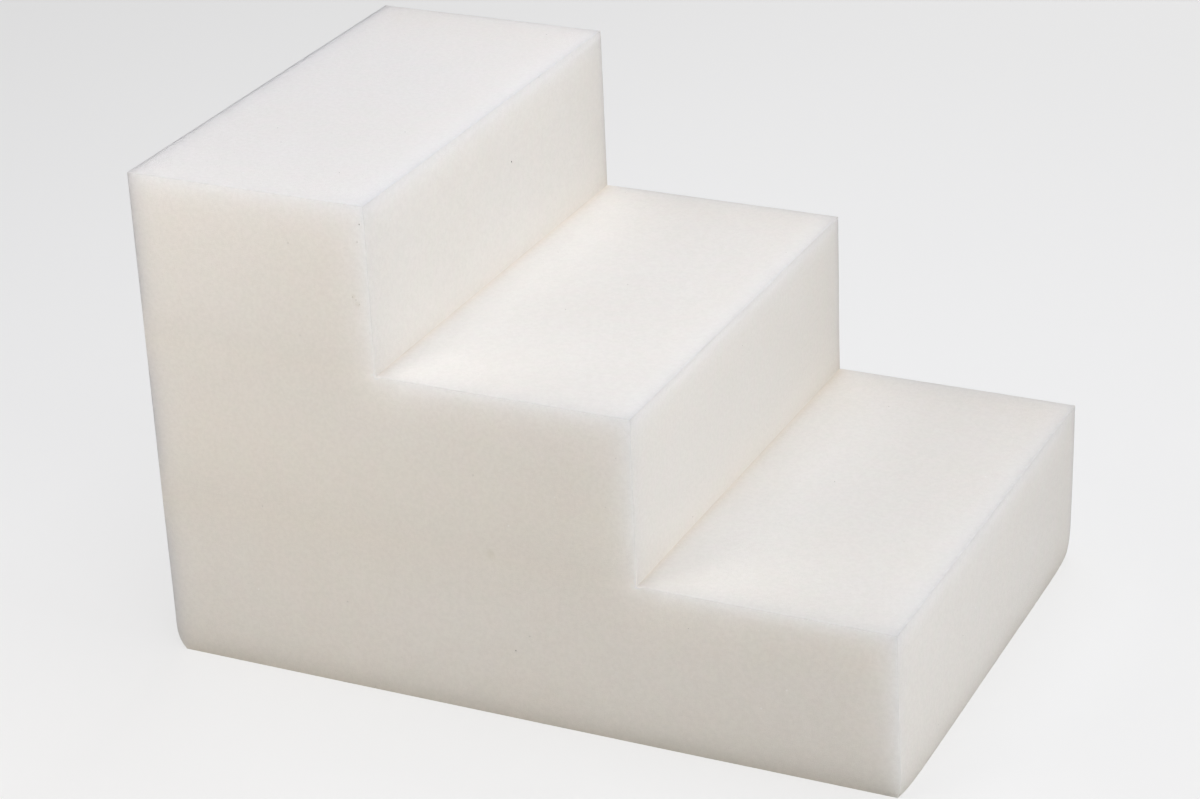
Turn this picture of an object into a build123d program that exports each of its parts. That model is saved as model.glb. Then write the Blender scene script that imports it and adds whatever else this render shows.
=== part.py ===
import os

from build123d import *

# Three-step pet stairs of bare foam: slabs cut from one thickness of sheet, glued into a
# stack and trimmed flush. X runs from the high back to the low front, Y across, Z up.
# The origin is on the floor, under the middle of the stairs. Sizes are in millimetres.

# Stairs
stair_width = 400.0
slab_thickness = 135.0
bottom_tread_depth = 202.0
middle_tread_depth = 206.0
top_tread_depth = 200.0

# Sawn edges
tread_nose_radius = 2.2
side_edge_radius = 1.6

# The lowest riser stands back a little at its foot
front_foot_lean = 2.5

# Foot edges, rubbed round where the stairs are slid about
front_wear_inset = 2.5
front_wear_rise = 9.0
back_wear_inset = 6.0
back_wear_rise = 17.0

# Contact adhesive, kept back from the side and back edges, and the bead it squeezes out
film_thickness = 0.3
film_setback = 4.0
bead_swell = 1.1

# Places worked out from the sizes
stair_length = bottom_tread_depth + middle_tread_depth + top_tread_depth
back_x = -stair_length / 2
top_front_x = back_x + top_tread_depth
middle_front_x = top_front_x + middle_tread_depth
bottom_front_x = middle_front_x + bottom_tread_depth
lower_joint_z = slab_thickness
upper_joint_z = lower_joint_z + slab_thickness
top_z = upper_joint_z + slab_thickness
half_width = stair_width / 2
film_back_x = back_x + film_setback
film_half_width = half_width - film_setback
bead_radius = film_thickness + bead_swell

# How far the lowest riser stands back for each unit that it drops
lean_slope = front_foot_lean / slab_thickness
front_foot_x = bottom_front_x - front_foot_lean
front_wear_x = front_foot_x + lean_slope * front_wear_rise

# Corners of the side outline where a tread meets its riser or the back, in X and Z
nose_places = (
    (bottom_front_x, lower_joint_z),
    (middle_front_x, upper_joint_z),
    (top_front_x, top_z),
    (back_x, top_z),
)


def draw_side_outline():
    """Draws the stairs from the side: sharp inner corners, foot edges worn round."""
    Polyline(
        (front_wear_x, front_wear_rise),
        (bottom_front_x, lower_joint_z),
        (middle_front_x, lower_joint_z),
        (middle_front_x, upper_joint_z),
        (top_front_x, upper_joint_z),
        (top_front_x, top_z),
        (back_x, top_z),
        (back_x, back_wear_rise),
    )
    back_sole = (back_x + back_wear_inset, 0)
    front_sole = (front_foot_x - front_wear_inset, 0)
    TangentArc((back_x, back_wear_rise), back_sole, tangent=(0, -1))
    TangentArc((front_wear_x, front_wear_rise), front_sole, tangent=(-lean_slope, -1))
    Line(back_sole, front_sole)


def draw_film_outline(crease_x, joint_z):
    """Draws a glue film from the side, with the bead that it leaves in the inner corner."""
    film_top_z = joint_z + film_thickness
    bead_top = (crease_x, joint_z + bead_radius)
    bead_front = (crease_x + bead_radius, joint_z)
    Polyline(
        bead_top,
        (crease_x, film_top_z),
        (film_back_x, film_top_z),
        (film_back_x, joint_z),
        bead_front,
    )
    RadiusArc(bead_top, bead_front, radius=bead_radius)


# The glued stack as trimmed: flush sides, sharp inner corners, every outer edge broken
with BuildPart() as trimmed_stack:
    with BuildSketch(Plane.XZ) as side_face:
        with BuildLine():
            draw_side_outline()
        make_face()
        corners = side_face.vertices()
        noses = [corners.sort_by_distance(place)[0] for place in nose_places]
        fillet(noses, radius=tread_nose_radius)
    extrude(amount=half_width, both=True)
    for side_edges in (faces().sort_by(Axis.Y)[0].edges(), faces().sort_by(Axis.Y)[-1].edges()):
        fillet(side_edges, radius=side_edge_radius)

# Adhesive between the bottom and the middle slab
with BuildPart() as lower_adhesive_film:
    with BuildSketch(Plane.XZ):
        with BuildLine():
            draw_film_outline(middle_front_x, lower_joint_z)
        make_face()
    extrude(amount=film_half_width, both=True)
lower_adhesive_film.part.label = "lower_adhesive_film"

# Adhesive between the middle and the top slab
with BuildPart() as upper_adhesive_film:
    with BuildSketch(Plane.XZ):
        with BuildLine():
            draw_film_outline(top_front_x, upper_joint_z)
        make_face()
    extrude(amount=film_half_width, both=True)
upper_adhesive_film.part.label = "upper_adhesive_film"

# The bottom slab runs the whole length and is all that meets the floor
with BuildPart() as bottom_slab:
    add(trimmed_stack.part)
    split(bisect_by=Plane.XY.offset(lower_joint_z), keep=Keep.BOTTOM)
bottom_slab.part.label = "bottom_slab"

# The middle slab gives way to the film under it, so that its rim meets the slab below
with BuildPart() as middle_slab:
    add(trimmed_stack.part)
    split(bisect_by=Plane.XY.offset(lower_joint_z), keep=Keep.TOP)
    split(bisect_by=Plane.XY.offset(upper_joint_z), keep=Keep.BOTTOM)
    add(lower_adhesive_film.part, mode=Mode.SUBTRACT)
middle_slab.part.label = "middle_slab"

# The top slab is seated in the same way
with BuildPart() as top_slab:
    add(trimmed_stack.part)
    split(bisect_by=Plane.XY.offset(upper_joint_z), keep=Keep.TOP)
    add(upper_adhesive_film.part, mode=Mode.SUBTRACT)
top_slab.part.label = "top_slab"

os.makedirs("parts", exist_ok=True)
export_step(bottom_slab.part, "parts/bottom_slab.step")
export_step(middle_slab.part, "parts/middle_slab.step")
export_step(top_slab.part, "parts/top_slab.step")
export_step(lower_adhesive_film.part, "parts/lower_adhesive_film.step")
export_step(upper_adhesive_film.part, "parts/upper_adhesive_film.step")
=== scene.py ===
"""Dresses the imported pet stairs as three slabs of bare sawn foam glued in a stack.

Lengths are in metres and pixels are those of the photograph's frame. Each slab keeps its own
mesh, its rims meet its neighbour's face to face, and a line of dried adhesive lies in each
inner corner.
"""

import logging
import math
from dataclasses import dataclass, field
from enum import Enum
from typing import Any, Sequence

import bpy
import numpy as np
from mathutils import Matrix, Vector


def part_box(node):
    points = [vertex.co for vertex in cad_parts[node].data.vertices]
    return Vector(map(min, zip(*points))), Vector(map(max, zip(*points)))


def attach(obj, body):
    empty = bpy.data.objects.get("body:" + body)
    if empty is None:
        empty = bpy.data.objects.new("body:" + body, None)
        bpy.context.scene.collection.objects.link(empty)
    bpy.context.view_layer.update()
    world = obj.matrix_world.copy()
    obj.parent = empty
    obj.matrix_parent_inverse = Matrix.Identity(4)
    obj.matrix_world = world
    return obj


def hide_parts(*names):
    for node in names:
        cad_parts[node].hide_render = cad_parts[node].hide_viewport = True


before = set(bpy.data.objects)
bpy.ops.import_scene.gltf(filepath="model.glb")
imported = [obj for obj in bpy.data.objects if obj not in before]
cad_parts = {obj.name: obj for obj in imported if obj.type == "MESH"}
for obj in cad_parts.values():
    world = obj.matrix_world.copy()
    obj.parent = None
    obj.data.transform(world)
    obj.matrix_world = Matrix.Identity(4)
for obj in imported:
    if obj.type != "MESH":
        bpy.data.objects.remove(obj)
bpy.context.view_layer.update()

log = logging.getLogger("pet_stairs")

Colour = tuple[float, float, float]
Pixel = tuple[float, float]
Point = tuple[float, float, float]
Socket = bpy.types.NodeSocket
Tree = bpy.types.NodeTree

MM = 0.001
# Places closer than this count as one.
TOUCH = 0.001 * MM
# A mark above this counts as set.
IS_SET = 0.99
BODY = "root"


class Slot(str, Enum):
    """The record's material slots."""

    FOAM = "foam"
    ADHESIVE = "contact_adhesive"


class Mark(str, Enum):
    """Attributes that a mesh carries for its tree and its finish."""

    OUTWARD = "outward"
    OPEN_FACE = "open_face"
    GLUED = "glued"
    SCATTER = "scatter"
    # Light and shade painted into the foam's colour.
    TINT = "tint"
    CELL_RADIUS = "cell_radius"


class Wiring:
    """Adds nodes to one tree and joins them."""

    def __init__(self, tree: Tree) -> None:
        """Keeps the tree that the nodes go into."""
        self.tree = tree

    def feed(self, socket: Socket, value: Any) -> None:
        """Sets a socket to a plain value, or joins another socket to it.

        Args:
            socket: The input to fill.
            value: A number, colour, vector, material, object, text or output socket.
        """
        if isinstance(value, Socket):
            self.tree.links.new(value, socket)
        else:
            socket.default_value = value

    def fill(self, node: bpy.types.Node, **inputs: Any) -> None:
        """Fills some of a node's inputs.

        Args:
            node: The node.
            **inputs: Values or sockets by input name, with underscores for spaces.
        """
        for name, value in inputs.items():
            wanted = name.replace("_", " ")
            self.feed(next(s for s in node.inputs if s.name == wanted and s.enabled), value)

    def node(self, kind: str, settings: dict[str, Any] | None = None, **inputs: Any) -> bpy.types.Node:
        """Adds one node.

        Args:
            kind: The node's type name.
            settings: Properties of the node itself.
            **inputs: Values or sockets by input name, with underscores for spaces.

        Returns:
            The new node.
        """
        made = self.tree.nodes.new(kind)
        for name, value in (settings or {}).items():
            setattr(made, name, value)
        self.fill(made, **inputs)
        return made

    def math(self, operation: str, first: Any, second: Any = None) -> Socket:
        """Adds a Math node.

        Args:
            operation: The operation's name.
            first: The first number or socket.
            second: The second number or socket, where the operation has one.

        Returns:
            The result's socket.
        """
        made = self.node("ShaderNodeMath", {"operation": operation})
        self.feed(made.inputs[0], first)
        if second is not None:
            self.feed(made.inputs[1], second)
        return made.outputs[0]

    def vector(self, operation: str, first: Any, second: Any = None, scale: Any = None) -> Socket:
        """Adds a Vector Math node.

        Args:
            operation: The operation's name.
            first: The first vector or socket.
            second: The second vector or socket, where the operation has one.
            scale: The factor of a SCALE.

        Returns:
            The result's socket.
        """
        made = self.node("ShaderNodeVectorMath", {"operation": operation})
        self.feed(made.inputs[0], first)
        if second is not None:
            self.feed(made.inputs[1], second)
        if scale is not None:
            self.feed(made.inputs["Scale"], scale)
        return made.outputs["Value" if operation == "LENGTH" else "Vector"]

    def ramp(self, value: Any, low: Any, high: Any, start: Any = 0.0, end: Any = 1.0) -> Socket:
        """Maps a value smoothly from one range to another, held at both ends.

        Args:
            value: The socket to map.
            low: Where the result is start.
            high: Where the result is end.
            start: The result at low.
            end: The result at high.

        Returns:
            The result's socket.
        """
        made = self.node("ShaderNodeMapRange", {"interpolation_type": "SMOOTHSTEP"})
        self.fill(made, Value=value, From_Min=low, From_Max=high, To_Min=start, To_Max=end)
        return made.outputs["Result"]

    def tint(self, share: Any, first: Any, second: Any, blend: str = "MIX") -> Socket:
        """Mixes two colours.

        Args:
            share: How much of the second colour, from 0 to 1.
            first: The first colour.
            second: The second colour.
            blend: The way of mixing.

        Returns:
            The mixed colour's socket.
        """
        first, second = ((*item, 1.0) if isinstance(item, tuple) else item for item in (first, second))
        settings = {"data_type": "RGBA", "blend_type": blend}
        made = self.node("ShaderNodeMix", settings, Factor=share, A=first, B=second)
        return next(s for s in made.outputs if s.type == "RGBA")

    def carried(self, mark: Mark, kind: str = "FLOAT") -> Socket:
        """Reads in a geometry tree what the mesh carries."""
        made = self.node("GeometryNodeInputNamedAttribute", {"data_type": kind}, Name=mark.value)
        return made.outputs["Attribute"]

    def painted(self, mark: Mark, output: str) -> Socket:
        """Reads in a material what the mesh carries."""
        return self.node("ShaderNodeAttribute", {"attribute_name": mark.value}).outputs[output]

    def scaled(self, place: Any, size: Any) -> Socket:
        """Divides a place by a size, so that a pattern repeats at about that size."""
        return self.vector("SCALE", place, scale=self.math("DIVIDE", 1.0, size))

    def cells(self, place: Socket) -> Socket:
        """Gives the distance to the nearest of points strewn at random, about one apart."""
        points = self.node("ShaderNodeTexVoronoi", {"feature": "F1"}, Vector=place, Scale=1.0)
        return points.outputs["Distance"]

    def swing(self, place: Any, size: Any, detail: float) -> Socket:
        """Adds a noise with waves of about a size, centred on nothing and up to half either way."""
        noise = self.node("ShaderNodeTexNoise", Vector=self.scaled(place, size), Scale=1.0, Detail=detail)
        return self.math("SUBTRACT", noise.outputs[0], 0.5)


def new_tree(name: str, kind: str, inputs: dict[str, Any], outputs: dict[str, str]) -> tuple[Wiring, Any]:
    """Starts a node tree with named sockets.

    Args:
        name: The tree's name.
        kind: The tree's type name.
        inputs: The number that each input starts with, or the kind of one that starts empty.
        outputs: The kind of each output.

    Returns:
        The tree's wiring, and the sockets that give its inputs.
    """
    tree = bpy.data.node_groups.new(name, kind)
    number_kinds = {float: "Float", int: "Int"}
    for label, value in inputs.items():
        empty = isinstance(value, str)
        socket_type = "NodeSocket" + (value if empty else number_kinds[type(value)])
        made = tree.interface.new_socket(name=label, in_out="INPUT", socket_type=socket_type)
        if not empty:
            made.default_value = value
    for label, word in outputs.items():
        tree.interface.new_socket(name=label, in_out="OUTPUT", socket_type="NodeSocket" + word)
    wire = Wiring(tree)
    return wire, wire.node("NodeGroupInput").outputs


def apply_tree(piece: bpy.types.Object, tree: Tree, values: dict[str, Any]) -> None:
    """Runs a geometry tree on a piece and keeps the result as a plain mesh.

    Args:
        piece: The object, whose mesh is the tree's first input.
        tree: The geometry tree.
        values: The inputs by name.
    """
    modifier = piece.modifiers.new(tree.name, "NODES")
    modifier.node_group = tree
    places = {item.name: item.identifier for item in tree.interface.items_tree if item.in_out == "INPUT"}
    for name, value in values.items():
        modifier[places[name]] = value
    piece.update_tag()
    graph = bpy.context.evaluated_depsgraph_get()
    seen = piece.evaluated_get(graph)
    made = bpy.data.meshes.new_from_object(seen, preserve_all_data_layers=True, depsgraph=graph)
    old = piece.data
    piece.modifiers.remove(modifier)
    piece.data = made
    made.name = piece.name
    bpy.data.meshes.remove(old)


def new_object(name: str, mesh: bpy.types.Mesh) -> bpy.types.Object:
    """Puts a mesh in the scene.

    Args:
        name: The object's name.
        mesh: Its mesh, already in place.

    Returns:
        The object, at the origin.
    """
    made = bpy.data.objects.new(name, mesh)
    bpy.context.scene.collection.objects.link(made)
    return made


def set_marks(mesh: bpy.types.Mesh, mark: Mark, values: np.ndarray) -> None:
    """Writes one number or vector for each vertex.

    Args:
        mesh: The mesh.
        mark: The attribute's name.
        values: One row for each vertex.
    """
    kind, slot = ("FLOAT_VECTOR", "vector") if values.ndim == 2 else ("FLOAT", "value")
    made = mesh.attributes.new(mark.value, kind, "POINT")
    made.data.foreach_set(slot, values.astype(np.float32).ravel())


def smooth_between(mesh: bpy.types.Mesh, angle: float) -> None:
    """Shades a mesh smooth between its sharp edges.

    Args:
        mesh: The mesh.
        angle: The least angle of a sharp edge, in degrees.
    """
    for face in mesh.polygons:
        face.use_smooth = True
    mesh.set_sharp_from_angle(angle=math.radians(angle))


def smooth_step(value: np.ndarray) -> np.ndarray:
    """Eases from 0, at 0 and below, to 1, at 1 and above."""
    held = np.clip(value, 0, 1)
    return held * held * (3 - 2 * held)


def away_from(azimuth: float, elevation: float) -> Vector:
    """Gives the unit direction towards a viewpoint, in degrees round from the near side and up."""
    around, above = math.radians(azimuth), math.radians(elevation)
    return Vector((math.sin(around) * math.cos(above), -math.cos(around) * math.cos(above), math.sin(above)))


@dataclass(frozen=True)
class PhotoCamera:
    """The photograph's viewpoint, fitted to the corners of the stairs.

    Attributes:
        azimuth: Degrees round from straight in front of the near side.
        elevation: Degrees above the floor.
        roll: Degrees that the frame is turned.
        place: Where the lens is.
        focal_px: Focal length in pixels of the frame.
        width_px: The frame's width.
        height_px: The frame's height.
        sensor_mm: The sensor's width.
        far_limit: How far the camera sees.
    """

    azimuth: float = 26.428
    elevation: float = 25.469
    roll: float = -2.583
    place: Point = (1.0359, -2.1255, 1.3063)
    focal_px: float = 3347.9
    width_px: int = 1200
    height_px: int = 799
    sensor_mm: float = 36.0
    far_limit: float = 100.0

    def pose(self) -> Matrix:
        """Works out how the camera stands.

        Returns:
            Its place and turn.
        """
        turn = math.radians(self.roll)
        back = away_from(self.azimuth, self.elevation)
        level = (-back).cross(Vector((0, 0, 1))).normalized()
        upright = level.cross(-back)
        right = math.cos(turn) * level + math.sin(turn) * upright
        up = math.cos(turn) * upright - math.sin(turn) * level
        pose = Matrix((right, up, back)).transposed().to_4x4()
        pose.translation = self.place
        return pose

    def ray(self, pixel: Pixel) -> Vector:
        """Finds the direction in which a pixel of the photograph looks.

        Args:
            pixel: Column and row in the photograph.

        Returns:
            The direction, not of unit length.
        """
        across = (pixel[0] - self.width_px / 2) / self.focal_px
        down = (pixel[1] - self.height_px / 2) / self.focal_px
        return self.pose().to_3x3() @ Vector((across, -down, -1.0))

    def make(self) -> None:
        """Makes the camera and hands it to the scene."""
        lens = bpy.data.cameras.new("photo_camera")
        lens.sensor_width = self.sensor_mm
        lens.lens = self.focal_px / self.width_px * self.sensor_mm
        lens.clip_end = self.far_limit
        made = bpy.data.objects.new("photo_camera", lens)
        made.matrix_world = self.pose()
        bpy.context.scene.collection.objects.link(made)
        bpy.context.scene.camera = made


@dataclass(frozen=True)
class FootWear:
    """How one long edge of the foot is rubbed round.

    Attributes:
        inset: How far the edge stands in at the floor.
        rise: How high the rubbing reaches.
        near_corner: Further inset at the near corner.
        far_corner: Further inset at the far corner.
    """

    inset: float
    rise: float
    near_corner: float
    far_corner: float

    def hollow(self, height: np.ndarray) -> np.ndarray:
        """Gives the inset at each height.

        Args:
            height: Heights above the floor.

        Returns:
            The insets.
        """
        radius = (self.inset**2 + self.rise**2) / (2 * self.inset)
        left = np.clip(self.rise - height, 0, self.rise)
        return radius - np.sqrt(radius**2 - left**2)


@dataclass
class Stack:
    """The outer form that the three slabs share.

    Attributes:
        back: X of the sawn back.
        fronts: X of each slab's front, lowest slab first.
        tops: Z of each slab's top, lowest slab first.
        half_width: Half the width across.
        edge_radius: The usual radius of a sawn edge.
        radius_play: How much that radius varies, as a share of it.
        radius_stretch: Over what length it varies.
        lean: How far the lowest front stands back at its foot, or forward where less than nothing.
        skew: How much further the foot stands back at the far end than in the middle.
        side_lean: How far the near side stands in at the back end of its foot.
        side_skew: How many times as far more it stands in at the front end.
        far_lean: How many times as far as the near side the far one stands in.
        front_wear: The foot's front edge.
        back_wear: The foot's back edge.
        wear_reach: How far in from an edge its wear shifts the surface.
        corner_reach: How far along the foot a corner's wear reaches.
        corner_rise: How high a corner's wear reaches.
        joint_end: How many times faster a joint's reach ends in front of it than above and below.
    """

    back: float
    fronts: list[float]
    tops: list[float]
    half_width: float
    edge_radius: float = 0.35 * MM
    radius_play: float = 0.3
    radius_stretch: float = 45 * MM
    lean: float = -0.7 * MM
    skew: float = 2.1 * MM
    side_lean: float = 0.6 * MM
    side_skew: float = 2.0
    far_lean: float = 1.8
    front_wear: FootWear = FootWear(0.5 * MM, 3 * MM, 3.2 * MM, 2.6 * MM)
    back_wear: FootWear = FootWear(6 * MM, 17 * MM, 1.5 * MM, 2 * MM)
    wear_reach: float = 45 * MM
    corner_reach: float = 16 * MM
    corner_rise: float = 26 * MM
    joint_end: float = 2.2

    @classmethod
    def from_frame(cls, nodes: Sequence[str]) -> "Stack":
        """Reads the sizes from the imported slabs.

        Args:
            nodes: The slabs' nodes, lowest first.

        Returns:
            The stack.
        """
        corners = [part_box(node) for node in nodes]
        return cls(
            back=corners[0][0].x,
            fronts=[high.x for low, high in corners],
            tops=[high.z for low, high in corners],
            half_width=corners[0][1].y,
        )

    def radius_at(self, points: np.ndarray) -> np.ndarray:
        """Gives the edge radius at each point, a little uneven as sawn foam is.

        Args:
            points: Rows of x, y, z.

        Returns:
            One radius for each point.
        """
        two_ways = np.array([[1.0, 0.61], [0.83, -1.27], [0.71, 1.13]])
        broad_share, fine_share = 0.6, 0.4
        fine_rate, fine_start = 2.3, 1.1
        turns = points @ two_ways / self.radius_stretch
        wave = broad_share * np.sin(turns[:, 0]) + fine_share * np.sin(fine_rate * turns[:, 1] + fine_start)
        return self.edge_radius * (1 + self.radius_play * wave)

    def round_edges(self, points: np.ndarray) -> tuple[np.ndarray, np.ndarray]:
        """Moves points of the sharp form onto the form with its outer edges broken.

        Args:
            points: Rows of x, y, z on the sharp form, or on a joint inside it.

        Returns:
            The moved points, and the outward direction at each, which fades to nothing inside.
        """
        radius = self.radius_at(points)
        nearest = np.zeros_like(points)
        least = np.full(len(points), np.inf)
        for front, top in zip(self.fronts, self.tops):
            x = np.clip(points[:, 0], self.back + radius, front - radius)
            z = np.clip(points[:, 2], radius, top - radius)
            gap = (points[:, 0] - x) ** 2 + (points[:, 2] - z) ** 2
            nearer = gap < least
            nearest[nearer, 0] = x[nearer]
            nearest[nearer, 2] = z[nearer]
            least = np.minimum(least, gap)
        nearest[:, 1] = np.clip(points[:, 1], radius - self.half_width, self.half_width - radius)
        away = points - nearest
        length = np.linalg.norm(away, axis=1)
        direction = away / np.maximum(length, TOUCH)[:, None]
        outside = length > radius
        moved = np.where(outside[:, None], nearest + radius[:, None] * direction, points)
        return moved, direction * np.clip(length / radius, 0, 1)[:, None] ** 2

    def wear(self, points: np.ndarray) -> np.ndarray:
        """Leans the lowest front and the sides at the foot, and rubs the foot's edges round.

        Args:
            points: Rows of x, y, z.

        Returns:
            The moved points.
        """
        x, y, z = points.T
        low = np.clip(1 - z / self.tops[0], 0, 1)
        tread = smooth_step((x - self.fronts[1]) / (self.fronts[0] - self.fronts[1]))
        shift = -tread * (self.lean * low + self.skew * low**2 * y / self.half_width)
        corner_low = np.clip(1 - z / self.corner_rise, 0, 1) ** 2
        near = np.exp(-(self.half_width + y) / self.corner_reach) * corner_low
        far = np.exp(-(self.half_width - y) / self.corner_reach) * corner_low
        for place, sign, worn in ((self.fronts[0], -1, self.front_wear), (self.back, 1, self.back_wear)):
            depth = worn.hollow(z) + near * worn.near_corner + far * worn.far_corner
            shift = shift + sign * depth * smooth_step(1 - np.abs(x - place) / self.wear_reach)
        along = np.clip((x - self.back) / (self.fronts[0] - self.back), 0, 1)
        across = np.where(y < 0, 1.0, self.far_lean) * -y / self.half_width
        inward = self.side_lean * (1 + self.side_skew * along**2) * low * across
        return np.column_stack((x + shift, y + inward, z))

    def _from_corners(self, points: np.ndarray, fronts: Sequence[float]) -> tuple[np.ndarray, np.ndarray]:
        """Measures how far points are in front of and above the corners of the steps.

        Args:
            points: Rows of x, y, z.
            fronts: X of the corners, lowest first.

        Returns:
            Both distances, each with one row for a corner.
        """
        tops = self.tops[:len(fronts)]
        return points[:, 0] - np.array(fronts)[:, None], points[:, 2] - np.array(tops)[:, None]

    def joint_gap(self, points: np.ndarray) -> np.ndarray:
        """Measures how far points are from the nearest glued joint."""
        ahead, above = self._from_corners(points, self.fronts[1:])
        return np.hypot(self.joint_end * np.maximum(ahead, 0), above).min(axis=0)

    def crease_gap(self, points: np.ndarray) -> np.ndarray:
        """Measures how far points are from the nearest inner corner."""
        return np.hypot(*self._from_corners(points, self.fronts[1:])).min(axis=0)

    def nose_gap(self, points: np.ndarray) -> np.ndarray:
        """Measures how far points are from the nearest front edge of a tread."""
        return np.hypot(*self._from_corners(points, self.fronts)).min(axis=0)

    def rim_gap(self, points: np.ndarray) -> np.ndarray:
        """Measures how far points are from the edges where treads and risers meet the two sides.

        Args:
            points: Rows of x, y, z.

        Returns:
            The distances.
        """
        x, y, z = points.T
        outline = []
        floors = [0.0, *self.tops[:-1]]
        rears = [*self.fronts[1:], self.back]
        for front, top, floor, rear in zip(self.fronts, self.tops, floors, rears):
            outline.append(np.hypot(np.maximum(rear - x, 0) + np.maximum(x - front, 0), z - top))
            outline.append(np.hypot(x - front, np.maximum(floor - z, 0) + np.maximum(z - top, 0)))
        return np.hypot(self.half_width - np.abs(y), np.minimum.reduce(outline))

    def seen_at(self, camera: PhotoCamera, pixel: Pixel) -> Vector:
        """Finds the point of the stack that a pixel of the photograph shows.

        Args:
            camera: The photograph's camera.
            pixel: Column and row in the photograph.

        Returns:
            The point.
        """
        start, way = Vector(camera.place), camera.ray(pixel)
        best = math.inf
        for front, top in zip(self.fronts, self.tops):
            low, high = Vector((self.back, -self.half_width, 0.0)), Vector((front, self.half_width, top))
            spans = [sorted(((low[i] - start[i]) / way[i], (high[i] - start[i]) / way[i])) for i in range(3)]
            enter, leave = max(s[0] for s in spans), min(s[1] for s in spans)
            if enter < leave:
                best = min(best, enter)
        return start + best * way


@dataclass(frozen=True)
class Band:
    """A tint of painted light or shade that fades with the distance from an edge.

    Attributes:
        tint: What the foam's colour is multiplied by at the edge.
        reach: Over what distance the tint fades to about a third.
        power: How squarely it fades.
    """

    tint: Colour
    reach: float
    power: float = 1.0

    def over(self, colours: np.ndarray, gap: np.ndarray, share: np.ndarray | float) -> np.ndarray:
        """Lays a share of the tint over each point's colour, by its distance from the edge."""
        weight = share * np.exp(-((np.maximum(gap, 0) / self.reach) ** self.power))
        return colours * (1 + weight[:, None] * (np.array(self.tint) - 1))


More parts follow.
